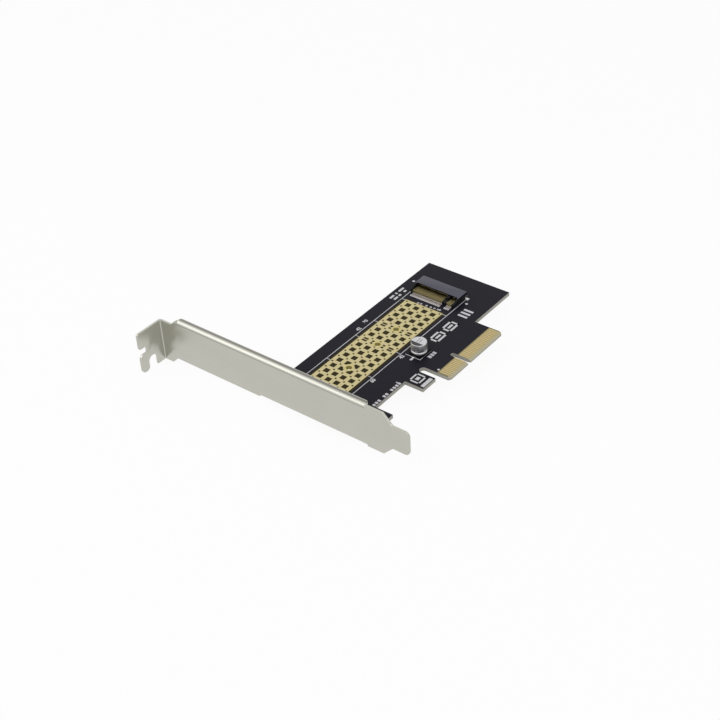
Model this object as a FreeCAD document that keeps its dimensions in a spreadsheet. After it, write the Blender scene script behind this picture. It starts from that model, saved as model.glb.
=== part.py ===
import FreeCAD, Part

import os
import re

import Sketcher

# An adapter card for a solid-state drive: a bare board whose edge tongue plugs into an expansion
# slot, a socket for the drive module, a storage capacitor and a full-height steel bracket.
#
# Millimetres.  X runs from the bracket to the far edge of the board, Y from the edge tongue up to
# the bracket's screw tab, Z out of the component side.  The origin is the middle of the tongue's
# key notch, at the tongue's lower edge, on the component side of the board.

SIZES = {
    # board
    "board_thickness": 1.57,
    "board_behind_stop": 16.07,   # module's stop to the board's far edge
    "board_top": 52.6,            # tongue edge to the top edge
    "board_low": 12.9,            # tongue edge to the shoulders
    "board_gap": 0.32,            # bracket sheet to the board's front edge
    "lobe_length": 13.9,          # lobe behind the bracket's lower end
    "lobe_low": 4.8,
    "stub_reach": 23.7,           # key notch to the stub's outer side
    "stub_width": 7.9,
    "stub_low": 4.6,
    "tongue_near": 12.6,          # key notch to the tongue's bracket side
    "tongue_far": 22.6,
    "tongue_corner": 0.8,
    "key_width": 1.9,
    "key_depth": 8.6,
    "bevel_height": 1.25,
    "bevel_depth": 0.45,
    # edge contacts
    "finger_spacing": 1.0,
    "finger_width": 0.7,
    "finger_top": 5.6,
    "finger_from_key": 1.5,
    "near_finger_count": 11,
    "far_finger_count": 21,
    "copper": 0.05,               # thickness of bare plated copper
    # standoff holes and the copper field round them
    "hole_row": 35.5,
    "hole_bore": 2.5,
    "ring_diameter": 3.6,
    "ring_rise": 0.07,
    "shortest_module": 30,
    "short_module": 42,
    "middle_module": 60,
    "long_module": 80,
    "field_spacing": 4.0,
    "field_setback": 14.0,        # nearest column of windows to the module's stop
    "field_margin": 0.9,
    "window": 2.3,
    "hole_pad": 4.4,
    "stripe_width": 0.35,
    "ring_gap": 0.03,
    # drive socket
    "far_hole_margin": 8.31,      # bracket's outer face to the farthest standoff hole
    "jaw_reach": 5.83,            # these three are measured from the module's stop
    "cover_reach": 2.23,
    "socket_behind_stop": 3.37,
    "row_margin": 0.525,          # outermost contact to the end wall
    "socket_height": 3.05,
    "socket_lift": 0.1,
    "jaw_height": 1.25,
    "cover_thickness": 0.6,
    "end_wall": 0.8,
    "cheek_rise": 0.35,
    "socket_key": 6.125,          # socket middle to its key rib
    "key_rib": 1.0,
    "key_rib_reach": 3.93,
    # socket contacts
    "contact_spacing": 0.5,
    "contact_width": 0.25,
    "contact_thickness": 0.15,
    "contact_gap": 0.02,
    "contact_bump": 0.2,
    "contact_foot": 1.9,
    "rear_foot": 1.2,
    "contact_tip": 0.5,
    "lower_row_half": 9.25,
    "upper_row_half": 9.0,
    "long_group_count": 29,
    "lower_short_count": 5,
    "upper_short_count": 4,
    "pad_width": 0.3,
    "pad_overhang": 0.4,
    # socket hold-downs
    "hold_width": 1.4,
    "hold_sheet": 0.2,
    "hold_height": 1.5,
    "hold_foot": 1.0,
    "hold_from_back": 0.15,
    # storage capacitor
    "can_x": -6.1,
    "can_y": 19.1,
    "can_diameter": 6.3,
    "can_top": 5.4,
    "can_edge": 0.35,
    "can_groove": 0.3,
    "can_rim": 0.45,
    "base_side": 6.6,
    "base_top": 1.05,
    "base_cut": 1.3,
    "lead_width": 0.7,
    "lead_thickness": 0.17,
    "lead_reach": 0.5,
    "lead_inner": 0.7,
    "lead_post": 0.6,
    "lead_gap": 0.03,
    # bracket
    "key_to_face": 57.18,         # key notch to the bracket's outer face
    "sheet": 0.86,
    "bend": 0.44,                 # inner radius of every fold
    "comp_edge": 14.05,           # component side to that edge of the face
    "face_width": 18.42,
    "tab_shift": 2.8,
    "bracket_length": 120.02,
    "foot_low": 13.74,            # bracket foot below the tongue edge
    "foot_width": 10.19,
    "foot_edge": 9.9,             # component side to the foot's upper side
    "foot_corner": 1.9,
    "shoulder_low": -2.35,        # where the face starts to narrow to its foot
    "shoulder_high": 97.0,        # where the face starts to shift towards the tab
    "tab_depth": 12.5,
    "tab_corner": 0.8,
    "screw_slot": 4.42,
    "slot_from_face": 6.35,
    "slot_top": -1.6,
    "notch_top": 4.1,
    "notch_height": 2.9,
    "notch_depth": 3.7,
    "flange_depth": 2.7,
    "flange_low": 5.5,
    "flange_high": 96.4,
    "flange_corner": 1.5,
    "ledge_depth": 3.0,
    "ledge_low": 7.0,
    "ledge_high": 54.2,
    "relief_width": 2.0,
    "relief_depth": 0.75,
    "ear_length": 9.6,
    "low_ear": 6.4,
    "high_ear": 7.0,
    "ear_step": 1.6,
    # bracket screws
    "screw_from_face": 7.2,
    "low_screw": 10.2,
    "high_screw": 49.2,
    "screw_thread": 2.9,
    "thread_gap": 0.05,
    "board_clearance": 0.3,
    "screw_length": 4.0,
    "head_diameter": 5.4,
    "head_height": 1.9,
    "head_chamfer": 0.6,
}

# Places and sizes that follow from the ones above.
DERIVED = {
    "face_x": "-key_to_face",
    "module_stop": "face_x + far_hole_margin + long_module",   # where the module's contacts come to rest
    "board_far": "module_stop + board_behind_stop",
    "socket_front": "module_stop - jaw_reach",
    "cover_front": "module_stop - cover_reach",
    "socket_back": "module_stop + socket_behind_stop",
    "key_rib_front": "module_stop - key_rib_reach",
    "field_column_count": "floor((long_module - field_setback) / field_spacing) + 2",
    "board_front": "face_x + sheet + board_gap",
    "lobe_side": "board_front + lobe_length",
    "stub_side": "-stub_reach + stub_width",
    "gap_radius": "(-tongue_near - stub_side) / 2",
    "key_radius": "key_width / 2",
    "board_under": "-board_thickness",
    "bend_outer": "bend + sheet",
    "solder_edge": "comp_edge - face_width",
    "foot_back": "foot_edge - foot_width",
    "bracket_top": "bracket_length - foot_low",
    "tab_bend": "bracket_top - bend_outer",
    "tab_end": "face_x - tab_depth",
    "field_right": "module_stop - field_setback + field_spacing / 2 + field_margin",
    "field_left": "module_stop - field_setback - (field_column_count - 0.5) * field_spacing - field_margin",
    "field_half": "2 * field_spacing + field_margin",
    "socket_width": "2 * (lower_row_half + contact_width / 2 + row_margin + end_wall)",
    "ceiling": "socket_height - cover_thickness",
    "slit": "ceiling - contact_thickness - 2 * contact_gap",
    "can_radius": "can_diameter / 2",
    "lead_top": "copper + lead_thickness",
    "base_under": "lead_top + lead_gap",
    "screw_x": "face_x + screw_from_face",
    "slot_x": "face_x - slot_from_face",
    "slot_radius": "screw_slot / 2",
    "ear_end": "face_x + ear_length",
}

UP, DOWN = 1, -1
LEFT_TURN, RIGHT_TURN = 1, -1

doc = FreeCAD.newDocument("adapter_card")
sheet = doc.addObject("Spreadsheet::Sheet", "dimensions")
for row, (name, number) in enumerate(list(SIZES.items()) + list(DERIVED.items()), start=1):
    sheet.set(f"A{row}", name)
    sheet.set(f"B{row}", f"={number}" if name in DERIVED else str(number))
    sheet.setAlias(f"B{row}", name)
doc.recompute()


def bound(rule):
    """The rule with every size named as its cell in the sheet."""
    known = {**SIZES, **DERIVED}
    return re.sub(r"[a-z_]+", lambda word: f"dimensions.{word[0]}" if word[0] in known else word[0], str(rule))


def value(rule):
    """The number that a rule comes to."""
    return float(sheet.evalExpression(str(rule)))


def new_body(name, x="0", y="0"):
    body = doc.addObject("PartDesign::Body", name)
    body.Label = name
    body.AllowCompound = True
    body.setExpression("Placement.Base.x", bound(x))
    body.setExpression("Placement.Base.y", bound(y))
    return body


def origin_part(body, role):
    return next(item for item in body.Origin.OriginFeatures if item.Role == role)


def new_sketch(body, name, plane, offset="0"):
    """An empty sketch on one of the body's own planes, moved along that plane's normal."""
    sketch = body.newObject("Sketcher::SketchObject", name)
    sketch.AttachmentSupport = [(origin_part(body, plane), "")]
    sketch.MapMode = "FlatFace"
    sketch.setExpression("AttachmentOffset.Base.z", bound(offset))
    return sketch


def fix(sketch, kind, geometry, point, rule):
    """A constraint whose value is bound to the sheet."""
    if kind == "Radius":
        index = sketch.addConstraint(Sketcher.Constraint(kind, geometry, value(rule)))
    else:
        index = sketch.addConstraint(Sketcher.Constraint(kind, geometry, point, value(rule)))
    sketch.setExpression(f"Constraints[{index}]", bound(rule))


def arc_through(start, end, radius, turn):
    """The short arc from start to end that turns left (1) or right (-1)."""
    middle = (start + end) / 2
    along = (end - start).normalize()
    reach = max(radius ** 2 - (end - start).Length ** 2 / 4, 0) ** 0.5
    centre = middle + FreeCAD.Vector(-along.y, along.x, 0) * reach * turn
    out = (middle - centre)
    if out.Length < 1e-9:
        out = FreeCAD.Vector(along.y, -along.x, 0) * turn
    return Part.Arc(start, centre + out.normalize() * radius, end)


def add_loop(sketch, corners):
    """A closed loop.  A corner is (across, up), or (across, up, radius, turn) to arrive by an arc."""
    points = [FreeCAD.Vector(value(corner[0]), value(corner[1]), 0) for corner in corners]
    ends = []
    for index, corner in enumerate(corners):
        start, end = points[index - 1], points[index]
        if len(corner) == 2:
            geometry = sketch.addGeometry(Part.LineSegment(start, end))
            ends.append((geometry, 1, 2))
        else:
            geometry = sketch.addGeometry(arc_through(start, end, value(corner[2]), corner[3]))
            ends.append((geometry, 1, 2) if corner[3] == LEFT_TURN else (geometry, 2, 1))
    for index, corner in enumerate(corners):
        geometry, first, last = ends[index]
        following = ends[(index + 1) % len(ends)]
        sketch.addConstraint(Sketcher.Constraint("Coincident", geometry, last, following[0], following[1]))
        fix(sketch, "DistanceX", geometry, last, corner[0])
        fix(sketch, "DistanceY", geometry, last, corner[1])
        if len(corner) > 2:
            fix(sketch, "Radius", geometry, None, corner[2])
    return sketch


def add_box(sketch, left, right, low, high):
    return add_loop(sketch, [(left, low), (right, low), (right, high), (left, high)])


def add_circle(sketch, across, up, radius):
    centre = FreeCAD.Vector(value(across), value(up), 0)
    geometry = sketch.addGeometry(Part.Circle(centre, FreeCAD.Vector(0, 0, 1), value(radius)))
    fix(sketch, "DistanceX", geometry, 3, across)
    fix(sketch, "DistanceY", geometry, 3, up)
    fix(sketch, "Radius", geometry, None, radius)
    return sketch


def pad(body, sketch, length, way=UP, midplane=False):
    feature = body.newObject("PartDesign::Pad", f"{sketch.Name}_pad")
    feature.Profile = sketch
    feature.setExpression("Length", bound(length))
    feature.Reversed = way == DOWN
    feature.Midplane = midplane
    doc.recompute()
    return feature


def cut(body, sketch, length=None, way=DOWN):
    """A pocket: right through, both ways, or to a depth below (or above) its sketch."""
    before = body.Shape.Volume
    feature = body.newObject("PartDesign::Pocket", f"{sketch.Name}_cut")
    feature.Profile = sketch
    if length is None:
        feature.Type = "ThroughAll"
        feature.Midplane = True
    else:
        feature.setExpression("Length", bound(length))
        feature.Reversed = way == UP
    doc.recompute()
    if before - body.Shape.Volume < 1e-3:
        raise ValueError(f"{sketch.Name} cuts nothing")
    return feature


def revolve(body, sketch):
    feature = body.newObject("PartDesign::Revolution", f"{sketch.Name}_turned")
    feature.Profile = sketch
    feature.ReferenceAxis = (origin_part(body, "Z_Axis"), [""])
    feature.Angle = 360
    doc.recompute()
    return feature


def repeat(body, feature, axis, count, pitch):
    """A row of copies of a feature."""
    pattern = body.newObject("PartDesign::LinearPattern", f"{feature.Name}_row")
    pattern.Originals = [feature]
    pattern.Direction = (origin_part(body, axis), [""])
    pattern.Mode = "Spacing"
    pattern.setExpression("Offset", bound(pitch))
    pattern.setExpression("Occurrences", bound(count))
    body.Tip = pattern
    doc.recompute()
    return pattern


def soften(body, kind, name, size, wanted):
    """A fillet or a chamfer on the edges of the body that pass the test."""
    tip = body.Tip
    names = [f"Edge{n}" for n, edge in enumerate(tip.Shape.Edges, start=1) if wanted(edge)]
    if not names:
        raise ValueError(f"{name}: no edge to soften")
    feature = body.newObject(f"PartDesign::{kind}", name)
    feature.Base = (tip, names)
    feature.setExpression("Radius" if kind == "Fillet" else "Size", bound(size))
    doc.recompute()


def round_edges(body, name, radius, wanted):
    soften(body, "Fillet", name, radius, wanted)


def chamfer_edges(body, name, size, wanted):
    soften(body, "Chamfer", name, size, wanted)


def near(a, b):
    return abs(a - b) < 1e-4


def upright_at(*places):
    """A test for straight edges along Z that stand at one of these places."""
    spots = [(value(x), value(y)) for x, y in places]

    def wanted(edge):
        ends = [vertex.Point for vertex in edge.Vertexes]
        if len(ends) != 2 or abs(ends[0].z - ends[1].z) < 1e-3:
            return False
        return any(all(near(end.x, x) and near(end.y, y) for end in ends) for x, y in spots)
    return wanted


MODULES = {"30": "shortest_module", "42": "short_module", "60": "middle_module", "80": "long_module"}


def hole_x(length):
    """A standoff hole stands one module length in front of the module's stop."""
    return f"module_stop - {length}"


def build_board():
    body = new_body("board")
    outline = add_loop(new_sketch(body, "board_outline", "XY_Plane"), [
        ("board_front", "lobe_low"),
        ("lobe_side", "lobe_low"),
        ("lobe_side", "board_low"),
        ("-stub_reach", "board_low"),
        ("-stub_reach", "stub_low"),
        ("stub_side", "stub_low"),
        ("stub_side", "board_low - gap_radius"),
        ("stub_side + gap_radius", "board_low", "gap_radius", RIGHT_TURN),
        ("-tongue_near", "board_low - gap_radius", "gap_radius", RIGHT_TURN),
        ("-tongue_near", "tongue_corner"),
        ("tongue_corner - tongue_near", "0"),
        ("-key_radius", "0"),
        ("-key_radius", "key_depth - key_radius"),
        ("0", "key_depth", "key_radius", RIGHT_TURN),
        ("key_radius", "key_depth - key_radius", "key_radius", RIGHT_TURN),
        ("key_radius", "0"),
        ("tongue_far - tongue_corner", "0"),
        ("tongue_far", "tongue_corner"),
        ("tongue_far", "board_low"),
        ("board_far", "board_low"),
        ("board_far", "board_top"),
        ("board_front", "board_top"),
    ])
    pad(body, outline, "board_thickness", way=DOWN)
    bevel = new_sketch(body, "board_bevel", "YZ_Plane")
    add_loop(bevel, [("0", "0"), ("bevel_height", "0"), ("0", "-bevel_depth")])
    add_loop(bevel, [("0", "board_under"), ("0", "board_under + bevel_depth"),
                     ("bevel_height", "board_under")])
    cut(body, bevel)
    holes = new_sketch(body, "board_holes", "XY_Plane")
    for length in MODULES.values():
        add_circle(holes, hole_x(length), "hole_row", "hole_bore / 2")
    for screw_y in ("low_screw", "high_screw"):
        add_circle(holes, "screw_x", screw_y, "screw_thread / 2 + board_clearance")
    cut(body, holes)


def build_thermal_field():
    """Bare gilt copper under the drive: a plate full of square windows, solid round each hole."""
    body = new_body("thermal_field")
    plate = add_box(new_sketch(body, "field_plate", "XY_Plane"), "field_left", "field_right",
                    "hole_row - field_half", "hole_row + field_half")
    pad(body, plate, "copper")
    first_x = "module_stop - field_setback - (field_column_count - 1) * field_spacing"
    column = new_sketch(body, "field_windows", "XY_Plane")
    for steps in (-1.5, -0.5, 0.5, 1.5):
        middle = f"hole_row + {steps} * field_spacing"
        add_box(column, f"{first_x} - window / 2", f"{first_x} + window / 2",
                f"{middle} - window / 2", f"{middle} + window / 2")
    repeat(body, cut(body, column), "X_Axis", "field_column_count", "field_spacing")
    discs = new_sketch(body, "field_discs", "XY_Plane")
    for length in MODULES.values():
        add_circle(discs, hole_x(length), "hole_row", "hole_pad / 2")
    pad(body, discs, "copper")
    stripes = new_sketch(body, "field_stripes", "XY_Plane")
    for length in ("shortest_module", "short_module"):
        add_box(stripes, f"{hole_x(length)} - stripe_width / 2", f"{hole_x(length)} + stripe_width / 2",
                "hole_row - field_half + field_margin", "hole_row + field_half - field_margin")
    pad(body, stripes, "copper")
    rings = new_sketch(body, "field_rings", "XY_Plane")
    for length in MODULES.values():
        add_circle(rings, hole_x(length), "hole_row", "ring_diameter / 2 + ring_gap")
    cut(body, rings)


def build_hole_ring(label, length):
    """The raised plated ring round a standoff hole."""
    body = new_body(f"hole_ring_{label}", hole_x(length), "hole_row")
    ring = new_sketch(body, f"ring_{label}", "XY_Plane")
    add_circle(ring, "0", "0", "ring_diameter / 2")
    add_circle(ring, "0", "0", "hole_bore / 2")
    pad(body, ring, "ring_rise")


def build_fingers(name, surface, way):
    """Gilt edge contacts on one side of the tongue, in two groups with the key notch between."""
    body = new_body(name)
    groups = (("near", "-finger_from_key - (near_finger_count - 1) * finger_spacing", "near_finger_count"),
              ("far", "finger_from_key", "far_finger_count"))
    for group, first, count in groups:
        sketch = new_sketch(body, f"{name}_{group}", "XY_Plane", surface)
        add_box(sketch, f"{first} - finger_width / 2", f"{first} + finger_width / 2",
                "bevel_height", "finger_top")
        repeat(body, pad(body, sketch, "copper", way), "X_Axis", count, "finger_spacing")


def cross_section(body, name, y):
    """A sketch on a plane across Y.  Its normal is -Y, so its offset is the other way round."""
    return new_sketch(body, name, "XZ_Plane", f"-({y})")


def build_socket_housing():
    body = new_body("socket_housing")
    side = add_loop(cross_section(body, "housing_side", "hole_row"), [
        ("socket_front", "socket_lift"), ("socket_back", "socket_lift"),
        ("socket_back", "socket_height"), ("cover_front", "socket_height"),
        ("socket_front", "jaw_height + cheek_rise")])
    pad(body, side, "socket_width", midplane=True)
    mouth = add_loop(cross_section(body, "housing_mouth", "hole_row + socket_width / 2 - end_wall"), [
        ("socket_front - end_wall", "jaw_height"), ("module_stop", "jaw_height"),
        ("module_stop", "slit"), ("socket_back + end_wall", "slit"),
        ("socket_back + end_wall", "ceiling"), ("cover_front", "ceiling"),
        ("cover_front", "socket_height + end_wall"), ("socket_front - end_wall", "socket_height + end_wall")])
    cut(body, mouth, "socket_width - 2 * end_wall", way=UP)
    rib = add_box(cross_section(body, "housing_key", "hole_row - socket_key"),
                  "key_rib_front", "socket_back", "jaw_height", "ceiling")
    pad(body, rib, "key_rib", midplane=True)


def contact_row(name, section, half, short_count):
    """Bent-strip contacts side by side: a long group, the key's gap and a short group."""
    body = new_body(name)
    starts = (("long", f"hole_row + {half} - (long_group_count - 1) * contact_spacing", "long_group_count"),
              ("short", f"hole_row - {half}", short_count))
    for group, first, count in starts:
        sketch = add_loop(cross_section(body, f"{name}_{group}", first), section)
        strip = pad(body, sketch, "contact_width", midplane=True)
        repeat(body, strip, "Y_Axis", count, "contact_spacing")


def build_contacts():
    riser = "socket_front - contact_gap"
    rest = "jaw_height + contact_gap"
    top = f"{rest} + contact_thickness"
    foot = "copper + contact_thickness"
    crest = "cover_front + contact_tip"
    contact_row("socket_lower_contacts", [
        (f"{riser} - contact_foot", "copper"), (riser, "copper"), (riser, rest),
        (crest, f"{rest} + contact_bump"), (crest, f"{top} + contact_bump"),
        (f"{riser} - contact_thickness", top), (f"{riser} - contact_thickness", foot),
        (f"{riser} - contact_foot", foot)], "lower_row_half", "lower_short_count")
    back = "socket_back + contact_gap"
    high = "ceiling - contact_gap"
    low = f"{high} - contact_thickness"
    contact_row("socket_upper_contacts", [
        (f"{back} + rear_foot", "copper"), (f"{back} + rear_foot", foot),
        (f"{back} + contact_thickness", foot), (f"{back} + contact_thickness", high),
        ("cover_front", high), ("cover_front", low), (back, low), (back, "copper")],
        "upper_row_half", "upper_short_count")


def pad_row(name, near_x, far_x, half, short_count):
    """Tinned pads under a row of contact feet."""
    body = new_body(name)
    starts = (("long", f"hole_row + {half} - (long_group_count - 1) * contact_spacing", "long_group_count"),
              ("short", f"hole_row - {half}", short_count))
    for group, first, count in starts:
        sketch = new_sketch(body, f"{name}_{group}", "XY_Plane")
        add_box(sketch, near_x, far_x, f"{first} - pad_width / 2", f"{first} + pad_width / 2")
        repeat(body, pad(body, sketch, "copper"), "Y_Axis", count, "contact_spacing")


def build_pads():
    front = "socket_front - contact_gap"
    back = "socket_back + contact_gap"
    pad_row("socket_front_pads", f"{front} - contact_foot - pad_overhang", front,
            "lower_row_half", "lower_short_count")
    pad_row("socket_rear_pads", back, f"{back} + rear_foot + pad_overhang",
            "upper_row_half", "upper_short_count")
    anchors = new_body("socket_anchor_pads")
    sketch = new_sketch(anchors, "anchor_pads", "XY_Plane")
    left = "socket_back - hold_from_back - hold_width - pad_overhang / 2"
    right = "socket_back - hold_from_back + pad_overhang / 2"
    wall = "socket_width / 2 + contact_gap"
    outer = f"{wall} + hold_foot + pad_overhang / 2"
    add_box(sketch, left, right, f"hole_row + {wall}", f"hole_row + {outer}")
    add_box(sketch, left, right, f"hole_row - ({outer})", f"hole_row - ({wall})")
    pad(anchors, sketch, "copper")
    capacitor = new_body("capacitor_pads")
    sketch = new_sketch(capacitor, "lead_pads", "XY_Plane")
    half = "lead_width / 2 + pad_overhang / 2"
    reach = "base_side / 2 + lead_reach + pad_overhang"
    add_box(sketch, "can_x + lead_inner", f"can_x + {reach}", f"can_y - ({half})", f"can_y + {half}")
    add_box(sketch, f"can_x - ({reach})", "can_x - lead_inner", f"can_y - ({half})", f"can_y + {half}")
    pad(capacitor, sketch, "copper")


def build_hold_downs():
    """Bent tabs that solder the socket's two ends to the board."""
    body = new_body("socket_hold_downs")
    left = "socket_back - hold_from_back - hold_width"
    sketch = new_sketch(body, "hold_down_section", "YZ_Plane", left)
    wall = "socket_width / 2 + contact_gap"
    for sign in ("+", "-"):
        add_loop(sketch, [
            (f"hole_row {sign} ({wall})", "copper"),
            (f"hole_row {sign} ({wall} + hold_foot)", "copper"),
            (f"hole_row {sign} ({wall} + hold_foot)", "copper + hold_sheet"),
            (f"hole_row {sign} ({wall} + hold_sheet)", "copper + hold_sheet"),
            (f"hole_row {sign} ({wall} + hold_sheet)", "hold_height"),
            (f"hole_row {sign} ({wall})", "hold_height")])
    pad(body, sketch, "hold_width")


def add_posts(sketch, half):
    """The squares where the two leads go up through the capacitor's base."""
    for middle in ("lead_inner + lead_post", "-lead_inner - lead_post"):
        add_box(sketch, f"{middle} - ({half})", f"{middle} + ({half})", f"-({half})", half)


def build_capacitor():
    """A wet capacitor: a sealed can crimped above its rim, on a square base with two cut corners."""
    can = new_body("capacitor_can", "can_x", "can_y")
    groove = "base_top + can_rim + can_groove"
    section = add_loop(new_sketch(can, "can_section", "XZ_Plane"), [
        ("0", "base_top"), ("can_radius", "base_top"), ("can_radius", "base_top + can_rim"),
        ("can_radius - can_groove", groove), ("can_radius", f"{groove} + can_groove"),
        ("can_radius", "can_top - can_edge"), ("can_radius - can_edge", "can_top"), ("0", "can_top")])
    revolve(can, section)
    base = new_body("capacitor_base", "can_x", "can_y")
    half = "base_side / 2"
    plate = add_loop(new_sketch(base, "base_outline", "XY_Plane", "base_under"), [
        (f"-{half} + base_cut", f"-{half}"), (half, f"-{half}"), (half, half),
        (f"-{half} + base_cut", half), (f"-{half}", f"{half} - base_cut"),
        (f"-{half}", f"-{half} + base_cut")])
    pad(base, plate, "base_top - base_under")
    holes = new_sketch(base, "base_holes", "XY_Plane")
    add_posts(holes, "lead_post / 2 + lead_gap")
    cut(base, holes)
    leads = new_body("capacitor_leads", "can_x", "can_y")
    strips = new_sketch(leads, "lead_strips", "XY_Plane", "copper")
    reach = "base_side / 2 + lead_reach"
    add_box(strips, "lead_inner", reach, "-lead_width / 2", "lead_width / 2")
    add_box(strips, f"-({reach})", "-lead_inner", "-lead_width / 2", "lead_width / 2")
    pad(leads, strips, "lead_thickness")
    posts = new_sketch(leads, "lead_posts", "XY_Plane", "copper")
    add_posts(posts, "lead_post / 2")
    pad(leads, posts, "base_top - copper")


def build_bracket():
    """One folded steel sheet: face, stiffening flange, board ledge with two ears, and screw tab."""
    body = new_body("bracket")
    face = add_loop(new_sketch(body, "bracket_face", "YZ_Plane", "face_x"), [
        ("tab_bend", "solder_edge - tab_shift"),
        ("tab_bend", "comp_edge - tab_shift"),
        ("shoulder_high + tab_shift", "comp_edge - tab_shift"),
        ("shoulder_high", "comp_edge"),
        ("flange_high", "comp_edge"),
        ("flange_high", "comp_edge - bend_outer"),
        ("flange_low", "comp_edge - bend_outer"),
        ("flange_low", "comp_edge"),
        ("shoulder_low", "comp_edge"),
        ("shoulder_low - (comp_edge - foot_edge)", "foot_edge"),
        ("-foot_low", "foot_edge"),
        ("-foot_low", "foot_back"),
        ("shoulder_low - (foot_back - solder_edge)", "foot_back"),
        ("shoulder_low", "solder_edge"),
        ("ledge_low - relief_width", "solder_edge"),
        ("ledge_low - relief_width", "solder_edge + relief_depth"),
        ("ledge_low", "solder_edge + relief_depth"),
        ("ledge_low", "solder_edge + bend_outer"),
        ("ledge_high", "solder_edge + bend_outer"),
        ("ledge_high", "solder_edge + relief_depth"),
        ("ledge_high + relief_width", "solder_edge + relief_depth"),
        ("ledge_high + relief_width", "solder_edge"),
        ("shoulder_high + tab_shift / 2", "solder_edge"),
        ("shoulder_high + tab_shift * 1.5", "solder_edge - tab_shift"),
    ])
    pad(body, face, "sheet")
    bend_x, inner_x = "face_x + bend_outer", "face_x + sheet"
    flange = add_loop(cross_section(body, "stiffening_flange", "flange_low"), [
        ("face_x", "comp_edge - bend_outer", "bend_outer", LEFT_TURN),
        (inner_x, "comp_edge - bend_outer"), (bend_x, "comp_edge - sheet", "bend", RIGHT_TURN),
        ("face_x + flange_depth", "comp_edge - sheet"), ("face_x + flange_depth", "comp_edge"),
        (bend_x, "comp_edge")])
    pad(body, flange, "flange_high - flange_low", way=DOWN)
    ledge = add_loop(cross_section(body, "board_ledge", "ledge_low"), [
        ("face_x", "solder_edge + bend_outer"), (bend_x, "solder_edge", "bend_outer", LEFT_TURN),
        ("face_x + ledge_depth", "solder_edge"), ("face_x + ledge_depth", "solder_edge + sheet"),
        (bend_x, "solder_edge + sheet"), (inner_x, "solder_edge + bend_outer", "bend", RIGHT_TURN)])
    pad(body, ledge, "ledge_high - ledge_low", way=DOWN)
    step = "face_x + ledge_depth + ear_step"
    for name, low, length in (("low_ear", "ledge_low", "low_ear"),
                              ("high_ear", "ledge_high - high_ear", "high_ear")):
        ear = add_loop(cross_section(body, f"{name}_section", low), [
            ("face_x + ledge_depth", "solder_edge"), (step, "board_under - sheet"),
            ("ear_end", "board_under - sheet"), ("ear_end", "board_under"), (step, "board_under"),
            ("face_x + ledge_depth", "solder_edge + sheet")])
        pad(body, ear, length, way=DOWN)
    threads = new_sketch(body, "ear_threads", "XY_Plane", "board_under")
    for screw_y in ("low_screw", "high_screw"):
        add_circle(threads, "screw_x", screw_y, "screw_thread / 2 + thread_gap")
    cut(body, threads, "sheet + bend")
    tab = add_loop(new_sketch(body, "screw_tab", "XY_Plane", "solder_edge - tab_shift"), [
        ("face_x", "tab_bend", "bend", RIGHT_TURN), (inner_x, "tab_bend"),
        ("face_x - bend", "bracket_top", "bend_outer", LEFT_TURN), ("tab_end", "bracket_top"),
        ("tab_end", "bracket_top - sheet"), ("face_x - bend", "bracket_top - sheet")])
    pad(body, tab, "face_width")
    prong = "slot_x - slot_radius"
    openings = new_sketch(body, "tab_openings", "XZ_Plane", "-bracket_top")
    add_loop(openings, [
        (prong, "solder_edge - 2 * tab_shift"), ("slot_x + slot_radius", "solder_edge - 2 * tab_shift"),
        ("slot_x + slot_radius", "slot_top - slot_radius"),
        ("slot_x", "slot_top", "slot_radius", LEFT_TURN),
        (prong, "slot_top - slot_radius", "slot_radius", LEFT_TURN)])
    add_box(openings, "tab_end - bend", "tab_end + notch_depth", "notch_top - notch_height", "notch_top")
    cut(body, openings, "2 * sheet", way=UP)


def round_bracket():
    body = doc.getObject("bracket")

    def on_tab(*places):
        spots = [(value(x), value(z)) for x, z in places]

        def wanted(edge):
            ends = [vertex.Point for vertex in edge.Vertexes]
            if len(ends) != 2 or abs(ends[0].y - ends[1].y) < 1e-3:
                return False
            return any(all(near(end.x, x) and near(end.z, z) for end in ends) for x, z in spots)
        return wanted

    def on_face(*places):
        spots = [(value(y), value(z)) for y, z in places]

        def wanted(edge):
            ends = [vertex.Point for vertex in edge.Vertexes]
            if len(ends) != 2 or abs(ends[0].x - ends[1].x) < 1e-3:
                return False
            return any(all(near(end.y, y) and near(end.z, z) for end in ends) for y, z in spots)
        return wanted

    prong_low = "solder_edge - tab_shift"
    notch_low = "notch_top - notch_height"
    round_edges(body, "prong_round", "(slot_x - slot_radius - tab_end) * 0.45", on_tab(
        ("tab_end", prong_low), ("slot_x - slot_radius", prong_low), ("tab_end", notch_low)))
    round_edges(body, "tab_round", "tab_corner", on_tab(
        ("tab_end", "comp_edge - tab_shift"), ("tab_end", "notch_top")))
    round_edges(body, "foot_round", "foot_corner", on_face(
        ("-foot_low", "foot_edge"), ("-foot_low", "foot_back")))
    flange_x = "face_x + flange_depth"
    round_edges(body, "flange_round", "flange_corner - bend", upright_at(
        (flange_x, "flange_low"), (flange_x, "flange_high")))


def build_screws():
    """Two pan-head screws through the board into the bracket's ears."""
    body = new_body("bracket_screws")
    shanks = new_sketch(body, "screw_shanks", "XY_Plane")
    heads = new_sketch(body, "screw_heads", "XY_Plane")
    for screw_y in ("low_screw", "high_screw"):
        add_circle(shanks, "screw_x", screw_y, "screw_thread / 2")
        add_circle(heads, "screw_x", screw_y, "head_diameter / 2")
    pad(body, shanks, "screw_length", way=DOWN)
    pad(body, heads, "head_height")
    crown = value("head_height")
    chamfer_edges(body, "head_chamfers", "head_chamfer", lambda edge: near(edge.BoundBox.ZMin, crown))


build_board()
build_thermal_field()
for label, length in MODULES.items():
    build_hole_ring(label, length)
build_fingers("edge_contacts_component", "0", UP)
build_fingers("edge_contacts_solder", "board_under", DOWN)
build_socket_housing()
build_contacts()
build_pads()
build_hold_downs()
build_capacitor()
build_bracket()
round_bracket()
build_screws()
doc.recompute()

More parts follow.
